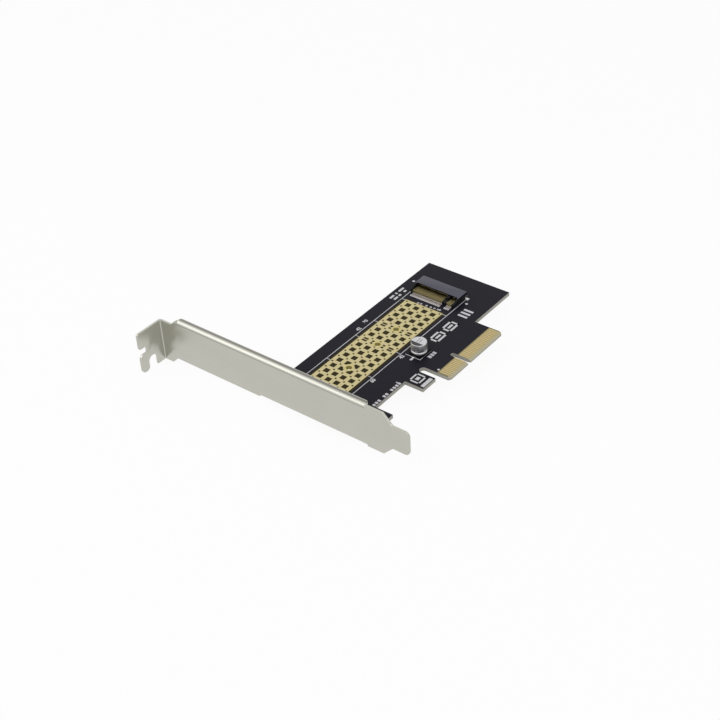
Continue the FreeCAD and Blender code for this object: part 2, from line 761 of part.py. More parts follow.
failed = [item.Name for item in doc.Objects if {"Invalid", "Error"} & set(item.State)]
if failed:
    raise ValueError(f"failed objects: {failed}")
nodes = [item for item in doc.Objects if item.TypeId == "PartDesign::Body"]
for node in nodes:
    if node.Shape.isNull() or not node.Shape.isValid():
        raise ValueError(f"bad shape: {node.Label}")
os.makedirs("parts", exist_ok=True)
for node in nodes:
    node.Shape.exportStep(f"parts/{node.Label}.step")
    print(node.Label, len(node.Shape.Solids), round(node.Shape.Volume, 3))
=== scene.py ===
import math

import bmesh
import bpy
from mathutils import Matrix, Vector


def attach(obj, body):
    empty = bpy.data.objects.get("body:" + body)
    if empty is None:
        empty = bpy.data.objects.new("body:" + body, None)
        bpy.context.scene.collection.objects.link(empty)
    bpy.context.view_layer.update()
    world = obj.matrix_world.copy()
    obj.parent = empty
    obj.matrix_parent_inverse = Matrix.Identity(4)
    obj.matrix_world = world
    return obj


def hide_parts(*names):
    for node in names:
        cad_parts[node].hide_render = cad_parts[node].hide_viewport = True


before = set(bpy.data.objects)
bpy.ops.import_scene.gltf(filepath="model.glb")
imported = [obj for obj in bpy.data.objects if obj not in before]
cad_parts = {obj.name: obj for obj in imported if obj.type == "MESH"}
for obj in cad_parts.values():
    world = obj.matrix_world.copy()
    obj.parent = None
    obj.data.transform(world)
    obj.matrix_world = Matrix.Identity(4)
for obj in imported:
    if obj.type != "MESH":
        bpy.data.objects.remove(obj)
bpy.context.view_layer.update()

# An adapter card for a solid-state drive module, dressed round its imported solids.
# Sizes below are in millimetres and are turned to metres where a mesh is made.
# A pair named for an axis holds the low and the high end of a stretch along it.

MM = 0.001


# ---------------------------------------------------------------- hands

def clear_hands():
    """Leaves edit mode and drops every selection."""
    if bpy.context.object and bpy.context.object.mode != "OBJECT":
        bpy.ops.object.mode_set(mode="OBJECT")
    bpy.ops.object.select_all(action="DESELECT")


def take(piece):
    clear_hands()
    piece.select_set(True)
    bpy.context.view_layer.objects.active = piece
    return piece


def edit(piece, mode="FACE"):
    """Opens a piece for editing with nothing selected."""
    take(piece)
    bpy.ops.object.mode_set(mode="EDIT")
    bpy.ops.mesh.select_mode(type=mode)
    bpy.ops.mesh.select_all(action="DESELECT")


def edit_all(piece, mode="FACE"):
    """Opens a piece for editing with all of it selected."""
    edit(piece, mode)
    bpy.ops.mesh.select_all(action="SELECT")


def close_edit():
    bpy.ops.object.mode_set(mode="OBJECT")


def pick(piece, kind, wanted):
    """Selects the vertices, edges or faces of the open piece that pass the test."""
    mesh = bmesh.from_edit_mesh(piece.data)
    for item in getattr(mesh, kind):
        item.select_set(bool(wanted(item)))
    mesh.select_flush_mode()
    bmesh.update_edit_mesh(piece.data)


LEVEL = 0.01


def vertex_at(height):
    """A test for vertices at one height."""
    return lambda vertex: abs(vertex.co.z - height * MM) < LEVEL * MM


def edge_at(height):
    """A test for edges that lie at one height."""
    level = vertex_at(height)
    return lambda edge: all(level(vertex) for vertex in edge.verts)


def settle(piece):
    """Puts a piece's place, turn and size into its mesh."""
    take(piece)
    bpy.ops.object.transform_apply(location=True, rotation=True, scale=True)
    return piece


def join(pieces, name):
    clear_hands()
    for piece in pieces:
        piece.select_set(True)
    bpy.context.view_layer.objects.active = pieces[0]
    bpy.ops.object.join()
    pieces[0].name = name
    pieces[0].data.name = name
    return settle(pieces[0])


def apply_modifier(piece, kind, **settings):
    take(piece)
    modifier = piece.modifiers.new(kind.lower(), kind)
    for key, setting in settings.items():
        setattr(modifier, key, setting)
    bpy.ops.object.modifier_apply(modifier=modifier.name)


def cut_away(piece, cutter):
    apply_modifier(piece, "BOOLEAN", operation="DIFFERENCE", solver="EXACT", object=cutter)
    bpy.data.objects.remove(cutter)


def smooth(piece, angle=32):
    """Smooth shading, broken at edges sharper than this many degrees."""
    take(piece)
    bpy.ops.object.shade_smooth_by_angle(angle=math.radians(angle))


SHARP_EDGE = 30


def soft_edges(piece, width):
    """A small even round on every sharp edge."""
    apply_modifier(piece, "BEVEL", width=width * MM, segments=2, limit_method="ANGLE",
                   angle_limit=math.radians(SHARP_EDGE), use_clamp_overlap=True,
                   harden_normals=False)
    smooth(piece)


WELD_GAP = 0.001
FLAT_ANGLE = 0.4


def welded_copy(node, name):
    """A copy of a CAD node's mesh with its corners joined and its flat faces whole."""
    mesh = bpy.data.meshes.new_from_object(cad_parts[node])
    piece = bpy.data.objects.new(name, mesh)
    mesh.materials.clear()
    bpy.context.scene.collection.objects.link(piece)
    take(piece)
    if mesh.has_custom_normals:
        bpy.ops.mesh.customdata_custom_splitnormals_clear()
    bpy.ops.object.mode_set(mode="EDIT")
    bpy.ops.mesh.select_all(action="SELECT")
    bpy.ops.mesh.remove_doubles(threshold=WELD_GAP * MM)
    bpy.ops.mesh.dissolve_limited(angle_limit=math.radians(FLAT_ANGLE))
    close_edit()
    return piece


def cylinder(x, y, low, high, radius, sides=48):
    bpy.ops.mesh.primitive_cylinder_add(vertices=sides, radius=radius * MM,
                                        depth=(high - low) * MM,
                                        location=(x * MM, y * MM, (low + high) / 2 * MM))
    return settle(bpy.context.object)


def block(x, y, z):
    """A box from (low, high) along each axis."""
    size = [(pair[1] - pair[0]) * MM for pair in (x, y, z)]
    middle = [(pair[1] + pair[0]) / 2 * MM for pair in (x, y, z)]
    bpy.ops.mesh.primitive_cube_add(size=1, location=middle)
    bpy.context.object.scale = size
    return settle(bpy.context.object)


def disc(x, y, z, radius, sides):
    """A flat round face."""
    bpy.ops.mesh.primitive_circle_add(vertices=sides, radius=radius * MM, fill_type="NGON",
                                      location=(x * MM, y * MM, z * MM))
    return settle(bpy.context.object)


def hollow(face, wall):
    """Leaves a ring of this width round a flat face's edge."""
    edit_all(face)
    bpy.ops.mesh.inset(thickness=wall * MM)
    bpy.ops.mesh.delete(type="FACE")
    close_edit()


def thicken(sheet, height):
    """Raises a flat piece by this height, with its faces turned outwards."""
    edit_all(sheet)
    bpy.ops.mesh.extrude_region_move(TRANSFORM_OT_translate={"value": (0, 0, height * MM)})
    bpy.ops.mesh.select_all(action="SELECT")
    bpy.ops.mesh.normals_make_consistent(inside=False)
    close_edit()


def round_edges(piece, height, width, segments):
    """Rounds the edges of a piece that lie at one height."""
    edit(piece, "EDGE")
    pick(piece, "edges", edge_at(height))
    bpy.ops.mesh.bevel(offset=width * MM, segments=segments, affect="EDGES")
    close_edit()


def finish_piece(piece, finish, slot, *nodes):
    piece.data.materials.clear()
    piece.data.materials.append(finish)
    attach(piece, "root")
    if nodes:
        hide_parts(*nodes)
    return piece


# ---------------------------------------------------------------- finishes

class Finish:
    """A node material built up in steps, patterned over the piece in millimetres."""

    def __init__(self, name, **surface):
        self.material = bpy.data.materials.new(name)
        self.material.use_nodes = True
        self.tree = self.material.node_tree
        self.shader = next(node for node in self.tree.nodes if node.type == "BSDF_PRINCIPLED")
        for socket, setting in surface.items():
            self.shader.inputs[socket.replace("_", " ")].default_value = setting
        place = self.tree.nodes.new("ShaderNodeTexCoord")
        scale = self.tree.nodes.new("ShaderNodeMapping")
        scale.inputs["Scale"].default_value = (1 / MM,) * 3
        self.tree.links.new(place.outputs["Object"], scale.inputs["Vector"])
        self.point = scale.outputs["Vector"]
        self.x, self.y, self.z = self.parts(self.point)
        self.nx, self.ny, self.nz = self.parts(place.outputs["Normal"])

    def parts(self, vector):
        split = self.tree.nodes.new("ShaderNodeSeparateXYZ")
        self.tree.links.new(vector, split.inputs[0])
        return split.outputs

    def feed(self, socket, source):
        if hasattr(source, "links"):
            self.tree.links.new(source, socket)
        else:
            socket.default_value = source

    def calc(self, operation, *sources):
        """A sum over outputs of other nodes or plain numbers."""
        node = self.tree.nodes.new("ShaderNodeMath")
        node.operation = operation
        for index, source in enumerate(sources):
            self.feed(node.inputs[index], source)
        return node.outputs[0]

    def above(self, value, limit):
        return self.calc("GREATER_THAN", value, limit)

    def below(self, value, limit):
        return self.calc("LESS_THAN", value, limit)

    def both(self, first, second):
        return self.calc("MULTIPLY", first, second)

    def either(self, first, second):
        return self.calc("MAXIMUM", first, second)

    def within(self, value, low, high):
        """1 where the value lies between the limits, else 0."""
        return self.both(self.above(value, low), self.below(value, high))

    def noise(self, scale, detail=4.0, stretch=(1, 1, 1)):
        """Cloudy noise with this many lumps per millimetre."""
        stretcher = self.tree.nodes.new("ShaderNodeMapping")
        stretcher.inputs["Scale"].default_value = stretch
        self.tree.links.new(self.point, stretcher.inputs["Vector"])
        node = self.tree.nodes.new("ShaderNodeTexNoise")
        node.inputs["Scale"].default_value = scale
        node.inputs["Detail"].default_value = detail
        node.inputs["Roughness"].default_value = 0.55
        self.tree.links.new(stretcher.outputs["Vector"], node.inputs["Vector"])
        return node.outputs[0]

    def spread(self, value, low, high):
        """Maps 0..1 onto low..high."""
        node = self.tree.nodes.new("ShaderNodeMapRange")
        self.feed(node.inputs["Value"], value)
        node.inputs["To Min"].default_value = low
        node.inputs["To Max"].default_value = high
        return node.outputs[0]

    def blend(self, factor, first, second):
        """The first colour where the factor is 0, the second where it is 1."""
        node = self.tree.nodes.new("ShaderNodeMix")
        node.data_type = "RGBA"
        self.feed(node.inputs[0], factor)
        for index, colour in ((6, first), (7, second)):
            self.feed(node.inputs[index], colour if hasattr(colour, "links") else (*colour, 1))
        return node.outputs[2]

    def set(self, socket, source):
        self.feed(self.shader.inputs[socket], source)

    def bump(self, height, depth):
        """Relief whose full height is this many millimetres."""
        node = self.tree.nodes.new("ShaderNodeBump")
        node.inputs["Strength"].default_value = 1.0
        node.inputs["Distance"].default_value = depth * MM
        self.feed(node.inputs["Height"], height)
        self.tree.links.new(node.outputs["Normal"], self.shader.inputs["Normal"])


# Colours. Each second one is the shade that the first is mottled with.

MASK_BLACK, MASK_SHEEN = (0.0080, 0.0072, 0.0125), (0.0115, 0.0104, 0.0175)
FIELD_MASK = (0.028, 0.021, 0.002)
LAMINATE, LAMINATE_SHADE = (0.52, 0.51, 0.47), (0.36, 0.35, 0.30)
LAMINATE_DARK = (0.28, 0.24, 0.12)
BEVEL_KHAKI = (0.50, 0.46, 0.31)
BORE_OLIVE = (0.50, 0.44, 0.18)
FIELD_GOLD, FIELD_GOLD_SHADE = (0.62, 0.55, 0.31), (0.52, 0.45, 0.23)
RING_GOLD, RING_GOLD_SHADE = (0.68, 0.59, 0.24), (0.58, 0.49, 0.18)
EDGE_GOLD, EDGE_GOLD_SHADE = (0.62, 0.50, 0.26), (0.52, 0.41, 0.19)
SPRING_GILT, SPRING_SHADE = (0.42, 0.35, 0.17), (0.26, 0.21, 0.09)
# A painted highlight for the springs' tips where they face -X at the socket's mouth.
SPRING_TIP_HIGHLIGHT = (0.80, 0.72, 0.50)
FOOT_TIN, FOOT_SHADE = (0.84, 0.81, 0.83), (0.72, 0.69, 0.71)
PAD_TIN = (0.78, 0.75, 0.77)
PLATE_TIN = (0.66, 0.65, 0.64)
MOULD_BLACK, MOULD_SHADE = (0.005, 0.005, 0.006), (0.008, 0.008, 0.009)
# The cover top's grey is partly its greyer moulding and partly a painted sheen.
COVER_SHEEN_GREY, COVER_SHEEN_MOTTLE = (0.088, 0.086, 0.112), (0.106, 0.104, 0.132)
BASE_BLACK = (0.003, 0.003, 0.0035)
BRACKET_NICKEL, BRACKET_SHADE = (0.548, 0.542, 0.485), (0.476, 0.472, 0.421)
# A painted dark reflection, laid on the bracket's flange flat and along its fold.
BRACKET_PAINTED_REFLECTION = (0.24, 0.23, 0.205)
SCREW_NICKEL = (0.62, 0.61, 0.58)
CAN_METAL, CAN_SHADE = (0.64, 0.64, 0.65), (0.54, 0.54, 0.55)
CAN_INK = (0.012, 0.012, 0.013)
INK_WHITE, INK_SHADE = (0.70, 0.70, 0.72), (0.54, 0.54, 0.57)

PLASTIC_LIFT = 1.35
TIN_DIP = 0.78

# Where a finish changes on its piece. A face's level is 1 where it lies flat and 0 on a wall.

BEVEL_LEVEL, WALL_LEVEL = 0.97, 0.9
UNDER_FIELD_X, UNDER_FIELD_Y, UNDER_FIELD_Z = (-54.4, 20.6), (25.7, 45.3), -0.5
BARE_TONGUE_X, BARE_TONGUE_TOP = (-12.5, 22.5), 6.1
BEVEL_TOP = 1.4
BORES_X, BORES_Y = (-51.0, 3.0), (34.0, 37.0)
FOOT_END_X, FOOT_TOP_Z, TIP_START_X = 25.2, 0.4, 28.5
COVER_TOP_Z = 2.9
# The bracket's flange flat and a line along its fold carry a painted dark reflection.
FLANGE_FLAT_X, FLANGE_FLAT_Z = (-55.8, -54.75), 13.9
FOLD_Y, FOLD_Z = (5.5, 96.4), (12.6, 12.95)
CAN_TOP_Z, SEGMENT_EDGE_X = 4.9, -7.2
STROKES_X, STROKE_HIGH_Y, STROKE_LOW_Y = (-6.9, -4.2), (19.55, 19.8), (18.5, 18.75)


def mask_finish():
    """Black solder mask, bare laminate at the cut walls and round the edge contacts."""
    finish = Finish("black_solder_mask", Specular_IOR_Level=0.08)
    level = finish.calc("ABSOLUTE", finish.nz)
    cloud = finish.noise(0.35)
    mask = finish.blend(cloud, MASK_BLACK, MASK_SHEEN)
    field = finish.both(finish.within(finish.x, *UNDER_FIELD_X),
                        finish.within(finish.y, *UNDER_FIELD_Y))
    field = finish.both(field, finish.above(finish.z, UNDER_FIELD_Z))
    skin = finish.blend(field, mask, FIELD_MASK)
    tongue = finish.both(finish.within(finish.x, *BARE_TONGUE_X),
                         finish.below(finish.y, BARE_TONGUE_TOP))
    skin = finish.blend(tongue, skin, LAMINATE_DARK)
    bevel = finish.both(finish.below(level, BEVEL_LEVEL), finish.below(finish.y, BEVEL_TOP))
    skin = finish.blend(bevel, skin, BEVEL_KHAKI)
    wall = finish.below(level, WALL_LEVEL)
    bore = finish.both(finish.within(finish.x, *BORES_X), finish.within(finish.y, *BORES_Y))
    laminate = finish.blend(finish.noise(6.0, stretch=(1, 1, 9)), LAMINATE, LAMINATE_SHADE)
    cut = finish.blend(finish.both(wall, bore), laminate, BORE_OLIVE)
    finish.set("Base Color", finish.blend(wall, skin, cut))
    finish.set("Roughness", finish.calc("ADD", finish.calc("MULTIPLY", wall, 0.3),
                                        finish.spread(cloud, 0.34, 0.42)))
    finish.bump(finish.noise(3.5, 6.0), 0.012)
    return finish.material


def gilt_finish(name, colour, shade, roughness, grain):
    """Plated copper: a soft metal colour, mottled, with a fine drag along Y."""
    finish = Finish(name, Metallic=1.0)
    mottle = finish.noise(0.9, 5.0)
    finish.set("Base Color", finish.blend(mottle, colour, shade))
    finish.set("Roughness", finish.spread(mottle, roughness - 0.06, roughness + 0.08))
    finish.bump(finish.noise(grain, 3.0, stretch=(4, 0.5, 1)), 0.006)
    return finish.material


def plastic_finish(name, colour, roughness):
    finish = Finish(name, Specular_IOR_Level=0.1)
    cloud = finish.noise(0.7)
    lighter = tuple(channel * PLASTIC_LIFT for channel in colour)
    finish.set("Base Color", finish.blend(cloud, colour, lighter))
    finish.set("Roughness", finish.spread(cloud, roughness - 0.05, roughness + 0.07))
    finish.bump(finish.noise(9.0, 2.0), 0.010)
    return finish.material


def tin_finish(name, colour, roughness):
    finish = Finish(name, Metallic=1.0)
    lumps = finish.noise(2.2, 3.0)
    darker = tuple(channel * TIN_DIP for channel in colour)
    finish.set("Base Color", finish.blend(lumps, colour, darker))
    finish.set("Roughness", finish.spread(lumps, roughness - 0.06, roughness + 0.1))
    finish.bump(lumps, 0.02)
    return finish.material


def contact_finish():
    """Gilt springs with a painted highlight on their tips' faces towards -X, whose soldered feet
    in front of the socket are tinned.
    """
    finish = Finish("spring_contacts", Metallic=1.0)
    mottle = finish.noise(2.2, 3.0)
    gilt = finish.blend(mottle, SPRING_GILT, SPRING_SHADE)
    tinned = finish.blend(mottle, FOOT_TIN, FOOT_SHADE)
    # Painted highlight: the tips' faces towards -X are paler.
    tip_highlight = finish.both(finish.below(finish.nx, -0.7), finish.above(finish.x, TIP_START_X))
    gilt = finish.blend(tip_highlight, gilt, SPRING_TIP_HIGHLIGHT)
    foot = finish.both(finish.below(finish.x, FOOT_END_X), finish.below(finish.z, FOOT_TOP_Z))
    finish.set("Base Color", finish.blend(foot, gilt, tinned))
    finish.set("Roughness", finish.spread(mottle, 0.28, 0.42))
    finish.bump(mottle, 0.01)
    return finish.material


def socket_finish():
    """Black moulding, greyer on the top of its cover: partly a greyer moulded finish, partly a
    painted sheen.
    """
    finish = Finish("socket_plastic", Specular_IOR_Level=0.15)
    cloud = finish.noise(0.7)
    black = finish.blend(cloud, MOULD_BLACK, MOULD_SHADE)
    sheen_grey = finish.blend(cloud, COVER_SHEEN_GREY, COVER_SHEEN_MOTTLE)
    # Painted sheen, partly a real greyer finish, on the cover's upward faces.
    top = finish.both(finish.above(finish.nz, 0.9), finish.above(finish.z, COVER_TOP_Z))
    finish.set("Base Color", finish.blend(top, black, sheen_grey))
    finish.set("Roughness", finish.spread(cloud, 0.33, 0.45))
    finish.bump(finish.noise(9.0, 2.0), 0.010)
    return finish.material


def nickel_finish():
    """Satin nickel with rolling marks along Y, and a painted dark reflection on the flange's flat
    and along its fold.
    """
    finish = Finish("satin_nickel", Metallic=1.0)
    rolled = finish.noise(0.55, 6.0, stretch=(1.6, 0.06, 1.6))
    cloud = finish.noise(0.05, 3.0)
    tone = finish.calc("ADD", finish.calc("MULTIPLY", rolled, 0.35),
                       finish.calc("MULTIPLY", cloud, 0.65))
    # Painted dark reflection: full on the flange's flat, weaker along the fold.
    flat = finish.both(finish.within(finish.x, *FLANGE_FLAT_X),
                       finish.above(finish.z, FLANGE_FLAT_Z))
    fold = finish.both(finish.within(finish.z, *FOLD_Z), finish.within(finish.y, *FOLD_Y))
    fold = finish.both(fold, finish.below(finish.nx, -0.8))
    painted_reflection = finish.either(flat, finish.calc("MULTIPLY", fold, 0.7))
    plate = finish.blend(tone, BRACKET_NICKEL, BRACKET_SHADE)
    finish.set("Base Color", finish.blend(painted_reflection, plate, BRACKET_PAINTED_REFLECTION))
    finish.set("Roughness", finish.spread(tone, 0.24, 0.36))
    finish.bump(finish.noise(2.4, stretch=(3, 0.12, 3)), 0.004)
    return finish.material


def can_finish():
    """A drawn aluminium can with a black segment and plain strokes printed on its top."""
    finish = Finish("drawn_aluminium", Metallic=1.0)
    drawn = finish.noise(2.5, 3.0, stretch=(1, 1, 0.08))
    top = finish.both(finish.above(finish.nz, 0.75), finish.above(finish.z, CAN_TOP_Z))
    segment = finish.both(top, finish.below(finish.x, SEGMENT_EDGE_X))
    strokes = finish.calc("ADD", finish.within(finish.y, *STROKE_HIGH_Y),
                          finish.within(finish.y, *STROKE_LOW_Y))
    strokes = finish.both(top, finish.both(finish.within(finish.x, *STROKES_X), strokes))
    ink = finish.either(segment, strokes)
    metal = finish.blend(drawn, CAN_METAL, CAN_SHADE)
    finish.set("Base Color", finish.blend(ink, metal, CAN_INK))
    finish.set("Metallic", finish.calc("SUBTRACT", 1.0, ink))
    finish.set("Roughness", finish.spread(drawn, 0.40, 0.52))
    finish.bump(drawn, 0.006)
    return finish.material


def ink_finish():
    finish = Finish("white_ink", Roughness=0.6)
    patch = finish.noise(2.4, 5.0)
    finish.set("Base Color", finish.blend(patch, INK_WHITE, INK_SHADE))
    finish.bump(finish.noise(8.0), 0.01)
    return finish.material


mask = mask_finish()
field_gold = gilt_finish("immersion_gold", FIELD_GOLD, FIELD_GOLD_SHADE, 0.42, 6.0)
ring_gold = gilt_finish("ring_gold", RING_GOLD, RING_GOLD_SHADE, 0.36, 6.0)
edge_gold = gilt_finish("edge_gold", EDGE_GOLD, EDGE_GOLD_SHADE, 0.34, 3.0)
spring_contacts = contact_finish()
tinned_pad = tin_finish("reflowed_tin", PAD_TIN, 0.36)
tin_plate = tin_finish("tin_plate", PLATE_TIN, 0.3)
socket_plastic = socket_finish()
base_plastic = plastic_finish("base_plastic", BASE_BLACK, 0.5)
nickel = nickel_finish()
screw_nickel = tin_finish("screw_nickel", SCREW_NICKEL, 0.24)
aluminium = can_finish()
white_ink = ink_finish()


# ---------------------------------------------------------------- CAD nodes that stay as they are

KEPT = {
    "board": (mask, "board_mask"),
    "hole_ring_30": (ring_gold, "hole_plate"),
    "hole_ring_42": (ring_gold, "hole_plate"),
    "hole_ring_60": (ring_gold, "hole_plate"),
    "hole_ring_80": (ring_gold, "hole_plate"),
    "edge_contacts_component": (edge_gold, "edge_gilt"),
    "edge_contacts_solder": (edge_gold, "edge_gilt"),
    "socket_lower_contacts": (spring_contacts, "contact_gilt"),
    "socket_upper_contacts": (spring_contacts, "contact_gilt"),
    "socket_front_pads": (tinned_pad, "tinned_pad"),
    "socket_rear_pads": (tinned_pad, "tinned_pad"),
    "socket_anchor_pads": (tinned_pad, "tinned_pad"),
    "capacitor_pads": (tinned_pad, "tinned_pad"),
    "socket_hold_downs": (tin_plate, "tinned_steel"),
    "capacitor_leads": (tin_plate, "tinned_steel"),
}
for node, (finish, slot) in KEPT.items():
    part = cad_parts[node]
    part.data.materials.clear()
    part.data.materials.append(finish)


# ---------------------------------------------------------------- copper field

BOARD_UNDER = -1.57
HOLE_ROW = 35.5
STOP = 31.13
HOLES = [STOP - length for length in (30, 42, 60, 80)]

WINDOW_PITCH = 4.0
WINDOW_SIDE = 0.75
WINDOW_COLUMNS, WINDOW_ROWS = 19, 5
LAST_WINDOW_X, FIRST_WINDOW_Y = 19.13, 27.5
WINDOW_CUT_Z = (-0.2, 0.2)

LAND_RADIUS = 1.8
LAND_WALL = 0.55
LAND_COPPER = 0.05


def make_field():
    """The gilt copper field, with the small windows cut between its large ones."""
    field = welded_copy("thermal_field", "thermal_field_pierced")
    half = WINDOW_SIDE / 2
    first_x = LAST_WINDOW_X - (WINDOW_COLUMNS - 1) * WINDOW_PITCH
    cutter = block((first_x - half, first_x + half),
                   (FIRST_WINDOW_Y - half, FIRST_WINDOW_Y + half), WINDOW_CUT_Z)
    for axis, count in ((0, WINDOW_COLUMNS), (1, WINDOW_ROWS)):
        offset = [0, 0, 0]
        offset[axis] = WINDOW_PITCH * MM
        apply_modifier(cutter, "ARRAY", count=count, use_relative_offset=False,
                       use_constant_offset=True, constant_offset_displace=offset)
    cut_away(field, cutter)
    smooth(field)
    return finish_piece(field, field_gold, "bare_gilt_copper", "thermal_field")


def make_solder_lands():
    """The rings round the standoff holes on the solder side."""
    rings = []
    for x in HOLES:
        ring = disc(x, HOLE_ROW, BOARD_UNDER, LAND_RADIUS, 48)
        hollow(ring, LAND_WALL)
        thicken(ring, -LAND_COPPER)
        rings.append(ring)
    lands = join(rings, "solder_side_lands")
    smooth(lands)
    return finish_piece(lands, ring_gold, "hole_plate")


make_field()
make_solder_lands()


# ---------------------------------------------------------------- printed marks

INK = 0.02

# Flat marks are (left, right, low, high); dots are (x, y, diameter).

MARK_CORNER, THIN_CORNER = 0.08, 0.05
RULE_HALF = 0.15
HIGH_RULE, HIGH_RULE_X = 46.4, (-54.5, 27.0)
LOW_RULE, LOW_RULE_X = 24.4, (-54.5, 33.6)
CROSS_RULE = (19.5, 19.75, 24.5, 46.3)
TICK_HALF = 0.12
TICKS_Y = ((44.5, 46.3), (24.5, 26.5))
CAPACITOR_OUTLINE = ((-9.95, -9.7, 15.9, 23.0), (-9.8, -2.4, 15.9, 16.15),
                     (-2.65, -2.4, 15.9, 22.9))

SOCKET_BARS = ((17.0, 19.7, 49.9, 50.9), (20.8, 21.8, 49.9, 50.9), (23.0, 26.2, 49.9, 50.9),
               (17.2, 19.7, 48.0, 49.0), (20.5, 21.8, 48.0, 49.0), (23.9, 25.3, 48.0, 49.0))
DOTS = ((32.4, 49.8, 1.2), (30.9, 22.6, 1.2), (-26.0, 15.0, 0.7), (-10.8, 6.7, 1.0))
CAPACITOR_BARS = ((-12.0, -10.4, 18.6, 19.5), (-6.7, -5.5, 13.3, 15.0),
                  (-5.1, -4.0, 13.3, 15.0), (-3.6, -2.5, 13.3, 15.0))
BOX_LINE = 0.9
BOXES = (((3.0, 9.8, 16.9, 21.3), (4.9, 7.9, 18.6, 19.6)),
         ((11.3, 17.8, 16.9, 21.3), (13.1, 16.0, 18.6, 19.6)))
TALL_BARS = ((22.4, 23.5, 16.8, 21.2), (24.5, 25.6, 16.8, 21.2), (26.6, 27.7, 16.8, 21.2))
STUB_LINE = 0.7
STUB_BOX = (-22.3, -17.0, 7.6, 12.3)
STUB_BARS = ((-20.6, -18.7, 9.2, 10.7), (-22.8, -16.8, 4.95, 6.5))
ROW_FIRST_X, ROW_Y = (-42.0, -41.0), (13.2, 14.5)
ROW_PITCH = 1.55
ROW_COUNT, ROW_GAPS = 11, (3, 6)

LABELS = (("42", -8.0, 47.2), ("30", -2.4, 48.2), ("42", -13.2, 22.3), ("60", -31.2, 22.4))
LABEL_SIZE = 2.2
LABEL_WEIGHT = 0.08

VIA_START_X, VIA_DRIFT = 20.7, 0.12
VIAS_Y = (39.1, 37.7, 35.1, 33.1, 31.4, 29.8, 28.9)
VIA_DIAMETER, VIA_WALL, VIA_HEIGHT = 0.9, 0.24, 0.03


def stamp(left, right, low, high, rounding=MARK_CORNER):
    """A flat printed rectangle with rounded corners."""
    bpy.ops.mesh.primitive_plane_add(size=1, location=((left + right) / 2 * MM,
                                                       (low + high) / 2 * MM, 0))
    mark = bpy.context.object
    mark.scale = ((right - left) * MM, (high - low) * MM, 1)
    settle(mark)
    edit_all(mark, "VERT")
    bpy.ops.mesh.bevel(offset=rounding * MM, segments=3, affect="VERTICES")
    close_edit()
    return mark


def stamps(marks):
    return [stamp(*mark) for mark in marks]


def frame_of(left, right, low, high, width):
    """Four printed strokes round a rectangle."""
    return stamps(((left, right, low, low + width), (left, right, high - width, high),
                   (left, left + width, low, high), (right - width, right, low, high)))


def dot(x, y, diameter):
    return disc(x, y, 0, diameter / 2, 24)


def print_marks(marks, name):
    """Joins flat marks and gives them the thickness of ink."""
    sheet = join(marks, name)
    thicken(sheet, INK)
    return finish_piece(sheet, white_ink, "board_mask")


def make_rules():
    """The long rules beside the field, their ticks at the holes and the capacitor's outline."""
    lines = [(*HIGH_RULE_X, HIGH_RULE - RULE_HALF, HIGH_RULE + RULE_HALF),
             (*LOW_RULE_X, LOW_RULE - RULE_HALF, LOW_RULE + RULE_HALF), CROSS_RULE]
    lines += [(x - TICK_HALF, x + TICK_HALF, *tick) for x in HOLES[:3] for tick in TICKS_Y]
    lines += CAPACITOR_OUTLINE
    return print_marks([stamp(*line, THIN_CORNER) for line in lines], "printed_rules")


def make_marks():
    """Plain bars, dots and boxes beside the socket, the capacitor and the stub."""
    marks = stamps(SOCKET_BARS) + [dot(*spot) for spot in DOTS] + stamps(CAPACITOR_BARS)
    for outline, bar in BOXES:
        marks += frame_of(*outline, BOX_LINE) + stamps([bar])
    marks += stamps(TALL_BARS) + frame_of(*STUB_BOX, STUB_LINE) + stamps(STUB_BARS)
    for step in range(ROW_COUNT):
        if step not in ROW_GAPS:
            left, right = (x + ROW_PITCH * step for x in ROW_FIRST_X)
            marks.append(stamp(left, right, *ROW_Y))
    return print_marks(marks, "printed_marks")


def make_numbers():
    """The module lengths in millimetres beside the rules."""
    made = []
    for text, x, y in LABELS:
        bpy.ops.object.text_add(location=(x * MM, y * MM, 0))
        label = bpy.context.object
        label.data.body = text
        label.data.size = LABEL_SIZE * MM
        label.data.extrude = INK / 2 * MM
        label.data.offset = LABEL_WEIGHT * MM
        take(label)
        bpy.ops.object.convert(target="MESH")
        label = bpy.context.object
        settle(label)
        label.data.transform(Matrix.Translation((0, 0, INK / 2 * MM)))
        made.append(label)
    return finish_piece(join(made, "printed_numbers"), white_ink, "board_mask")


def make_vias():
    """A row of plated through-points between the field and the socket."""
    spots = []
    for step, y in enumerate(VIAS_Y):
        spot = dot(VIA_START_X + VIA_DRIFT * step, y, VIA_DIAMETER)
        hollow(spot, VIA_WALL)
        spots.append(spot)
    vias = join(spots, "plated_vias")
    thicken(vias, VIA_HEIGHT)
    return finish_piece(vias, tinned_pad, "tinned_pad")


make_rules()
make_marks()
make_numbers()
make_vias()


# ---------------------------------------------------------------- socket, capacitor and bracket

SOCKET_EDGE = 0.09
BASE_EDGE = 0.1
BRACKET_EDGE = 0.1

CAN_X, CAN_Y, CAN_RADIUS = -6.1, 19.1, 3.15
CAN_LOW, CAN_HIGH = 1.05, 5.4
PINCH_LOOPS = (1.5, 1.62, 1.8, 1.98, 2.1)
PINCH_SHARES = ((1.62, 0.975), (1.8, 0.905), (1.98, 0.975))
CAN_SHOULDER = 0.4
CAN_RIM, CAN_DIP = 0.12, 0.04

# Each spot of solder is (x, y, half its length, half its width).
SOLDER_SPOTS = ((33.65, 46.7, 0.75, 0.5), (33.65, 24.3, 0.75, 0.5),
                (-2.25, 19.1, 0.45, 0.5), (-9.95, 19.1, 0.45, 0.5))
SOLDER_HEIGHT = 0.28
SOLDER_SEAT, SOLDER_CUT = 0.05, 0.051

